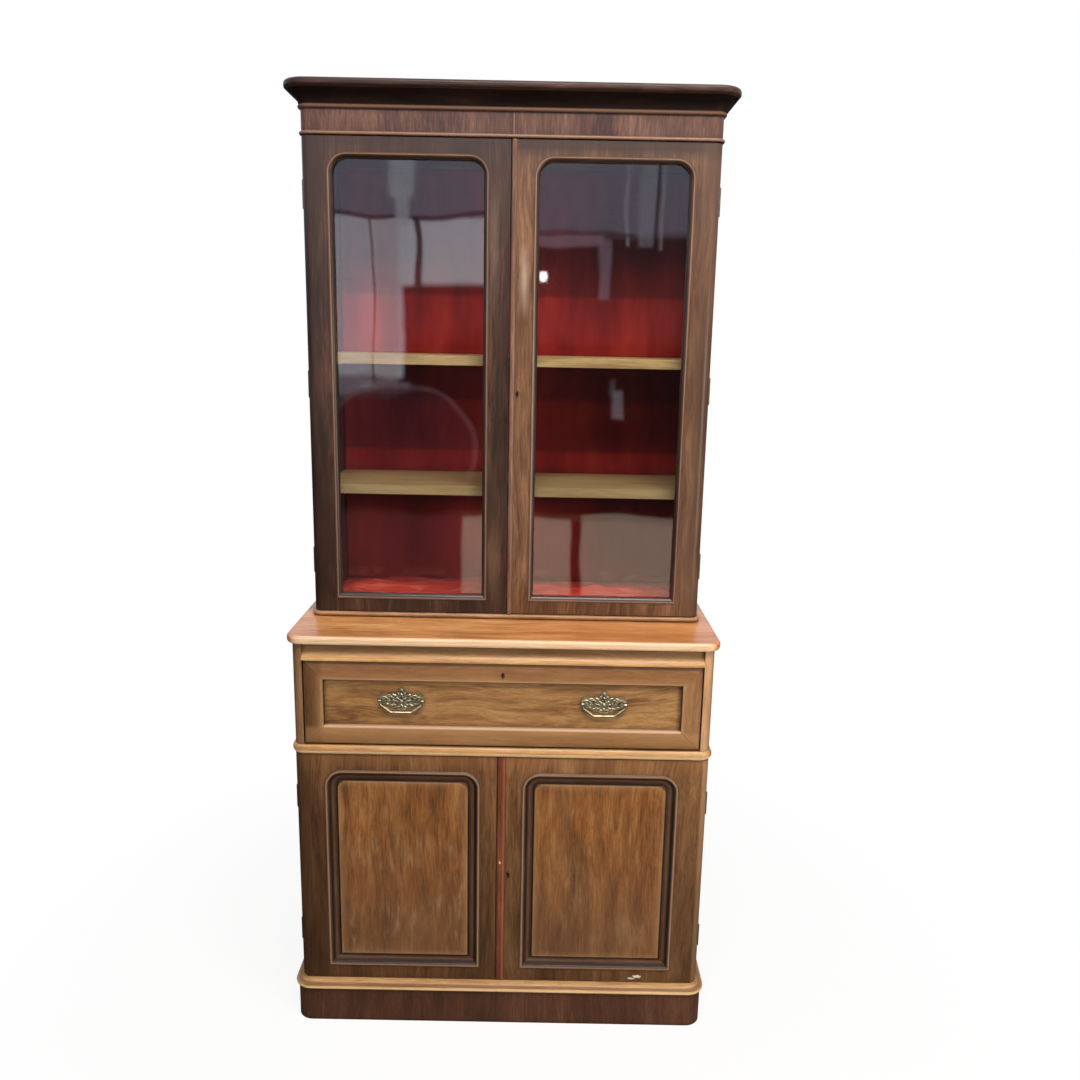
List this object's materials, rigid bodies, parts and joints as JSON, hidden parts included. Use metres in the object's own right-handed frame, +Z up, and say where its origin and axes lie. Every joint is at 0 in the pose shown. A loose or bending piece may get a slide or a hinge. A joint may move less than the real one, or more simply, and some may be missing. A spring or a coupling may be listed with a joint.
{
  "type": "secretaire bookcase",
  "caption": "Glazed bookcase set back on a cupboard, with a deep secretaire drawer whose front drops open as a writing surface.",
  "frame": {"origin": "centre of the footprint, on the floor", "axes": "+Z up, -Y towards the front with the doors, +X to the right seen from the front"},
  "size_m": [1.04, 0.5, 2.262],
  "materials": {
    "dark_mahogany": "french polished, darkened",
    "crossbanded_mahogany": "crossbanded veneer, french polished",
    "golden_mahogany": "faded by light, french polished",
    "drawer_mahogany": "french polished",
    "cupboard_mahogany": "french polished, worn",
    "red_mahogany": "french polished, unfaded",
    "pine": "bare, aged",
    "drawer_oak": "waxed",
    "red_cloth": "woven cotton, crimson",
    "window_glass": "clear, slightly uneven",
    "brass": "satin, old",
    "aged_brass": "cast, tarnished",
    "desk_leather": "green writing leather"
  },
  "bodies": {
    "root": {"upper_case_sides": "dark_mahogany", "upper_case_boards": "pine", "upper_back_boards": "pine", "bookcase_lining": "red_cloth", "bookcase_shelves": "pine", "shelf_pegs": "pine", "frieze": "crossbanded_mahogany", "cornice": "dark_mahogany", "cornice_top_board": "dark_mahogany", "upper_base_moulding": "golden_mahogany", "lower_case_sides": "dark_mahogany", "lower_back_boards": "pine", "cupboard_floor": "pine", "cupboard_shelf": "pine", "dust_board": "pine", "desk_top": "golden_mahogany", "fascia_rail": "golden_mahogany", "corner_columns": "dark_mahogany", "waist_moulding": "golden_mahogany", "plinth": "red_mahogany", "plinth_moulding": "golden_mahogany", "drawer_runners": "pine", "hinge_case_leaves": "brass"},
    "upper_left_door": {"upper_left_door_frame": "dark_mahogany", "upper_left_glass": "window_glass", "upper_left_door_moulding": "dark_mahogany", "upper_left_door_fittings": "brass"},
    "upper_right_door": {"upper_right_door_frame": "dark_mahogany", "upper_right_glass": "window_glass", "upper_right_door_moulding": "dark_mahogany", "upper_right_door_fittings": "brass", "upper_meeting_bead": "dark_mahogany"},
    "lower_left_door": {"lower_left_door_frame": "cupboard_mahogany", "lower_left_panel": "cupboard_mahogany", "lower_left_door_moulding": "cupboard_mahogany", "lower_left_door_fittings": "brass"},
    "lower_right_door": {"lower_right_door_frame": "cupboard_mahogany", "lower_right_panel": "cupboard_mahogany", "lower_right_door_moulding": "cupboard_mahogany", "lower_right_door_fittings": "brass", "lower_meeting_strip": "red_mahogany"},
    "upper_lock_bolt": {"upper_lock_bolt": "brass"},
    "lower_lock_bolt": {"lower_lock_bolt": "brass"},
    "upper_slip_bolt": {"upper_slip_bolt": "brass"},
    "lower_slip_bolt": {"lower_slip_bolt": "brass"},
    "secretaire_drawer": {"secretaire_drawer_box": "drawer_oak", "drawer_hinge_leaves": "brass", "pigeonhole_unit": "drawer_oak"},
    "small_drawer_1": {"small_drawer_1": "drawer_oak"},
    "small_drawer_2": {"small_drawer_2": "drawer_oak"},
    "small_drawer_3": {"small_drawer_3": "drawer_oak"},
    "small_drawer_4": {"small_drawer_4": "drawer_oak"},
    "fall": {"fall_front": "drawer_mahogany", "fall_moulding": "drawer_mahogany", "fall_leather": "desk_leather", "fall_fittings": "brass", "handle_plates": "aged_brass"},
    "fall_lock_bolt": {"fall_lock_bolt": "brass"},
    "left_bail": {"left_bail": "aged_brass"},
    "right_bail": {"right_bail": "aged_brass"}
  },
  "joints": [
    {"name": "upper_left_door_hinge", "type": "hinge", "parent": "root", "child": "upper_left_door", "pos_m": [-0.4802, -0.0445, 1.59], "axis": [0, 0, -1], "range_deg": [0, 110]},
    {"name": "upper_right_door_hinge", "type": "hinge", "parent": "root", "child": "upper_right_door", "pos_m": [0.4802, -0.0445, 1.59], "axis": [0, 0, 1], "range_deg": [0, 110]},
    {"name": "lower_left_door_hinge", "type": "hinge", "parent": "root", "child": "lower_left_door", "pos_m": [-0.5002, -0.2055, 0.417], "axis": [0, 0, -1], "range_deg": [0, 110]},
    {"name": "lower_right_door_hinge", "type": "hinge", "parent": "root", "child": "lower_right_door", "pos_m": [0.5002, -0.2055, 0.417], "axis": [0, 0, 1], "range_deg": [0, 110]},
    {"name": "upper_lock_slide", "type": "slide", "parent": "upper_right_door", "child": "upper_lock_bolt", "axis": [-1, 0, 0], "range_m": [0, 0.008]},
    {"name": "lower_lock_slide", "type": "slide", "parent": "lower_right_door", "child": "lower_lock_bolt", "axis": [-1, 0, 0], "range_m": [0, 0.008]},
    {"name": "upper_slip_slide", "type": "slide", "parent": "upper_left_door", "child": "upper_slip_bolt", "axis": [0, 0, 1], "range_m": [0, 0.008]},
    {"name": "lower_slip_slide", "type": "slide", "parent": "lower_left_door", "child": "lower_slip_bolt", "axis": [0, 0, 1], "range_m": [0, 0.008]},
    {"name": "secretaire_slide", "type": "slide", "parent": "root", "child": "secretaire_drawer", "axis": [0, -1, 0], "range_m": [0, 0.28]},
    {"name": "fall_hinge", "type": "hinge", "parent": "secretaire_drawer", "child": "fall", "pos_m": [0, -0.203, 0.753], "axis": [1, 0, 0], "range_deg": [0, 90]},
    {"name": "fall_lock_slide", "type": "slide", "parent": "fall", "child": "fall_lock_bolt", "axis": [0, 0, 1], "range_m": [0, 0.008]},
    {"name": "left_bail_hinge", "type": "hinge", "parent": "fall", "child": "left_bail", "pos_m": [-0.241, -0.23, 0.859], "axis": [-1, 0, 0], "range_deg": [0, 85]},
    {"name": "right_bail_hinge", "type": "hinge", "parent": "fall", "child": "right_bail", "pos_m": [0.241, -0.23, 0.859], "axis": [-1, 0, 0], "range_deg": [0, 85]},
    {"name": "small_drawer_1_slide", "type": "slide", "parent": "secretaire_drawer", "child": "small_drawer_1", "axis": [0, -1, 0], "range_m": [0, 0.13]},
    {"name": "small_drawer_2_slide", "type": "slide", "parent": "secretaire_drawer", "child": "small_drawer_2", "axis": [0, -1, 0], "range_m": [0, 0.13]},
    {"name": "small_drawer_3_slide", "type": "slide", "parent": "secretaire_drawer", "child": "small_drawer_3", "axis": [0, -1, 0], "range_m": [0, 0.13]},
    {"name": "small_drawer_4_slide", "type": "slide", "parent": "secretaire_drawer", "child": "small_drawer_4", "axis": [0, -1, 0], "range_m": [0, 0.13]}
  ],
  "couplings": [
    {"joint": "fall_hinge", "follows": "secretaire_slide", "rad_per_m": 5.6}
  ]
}
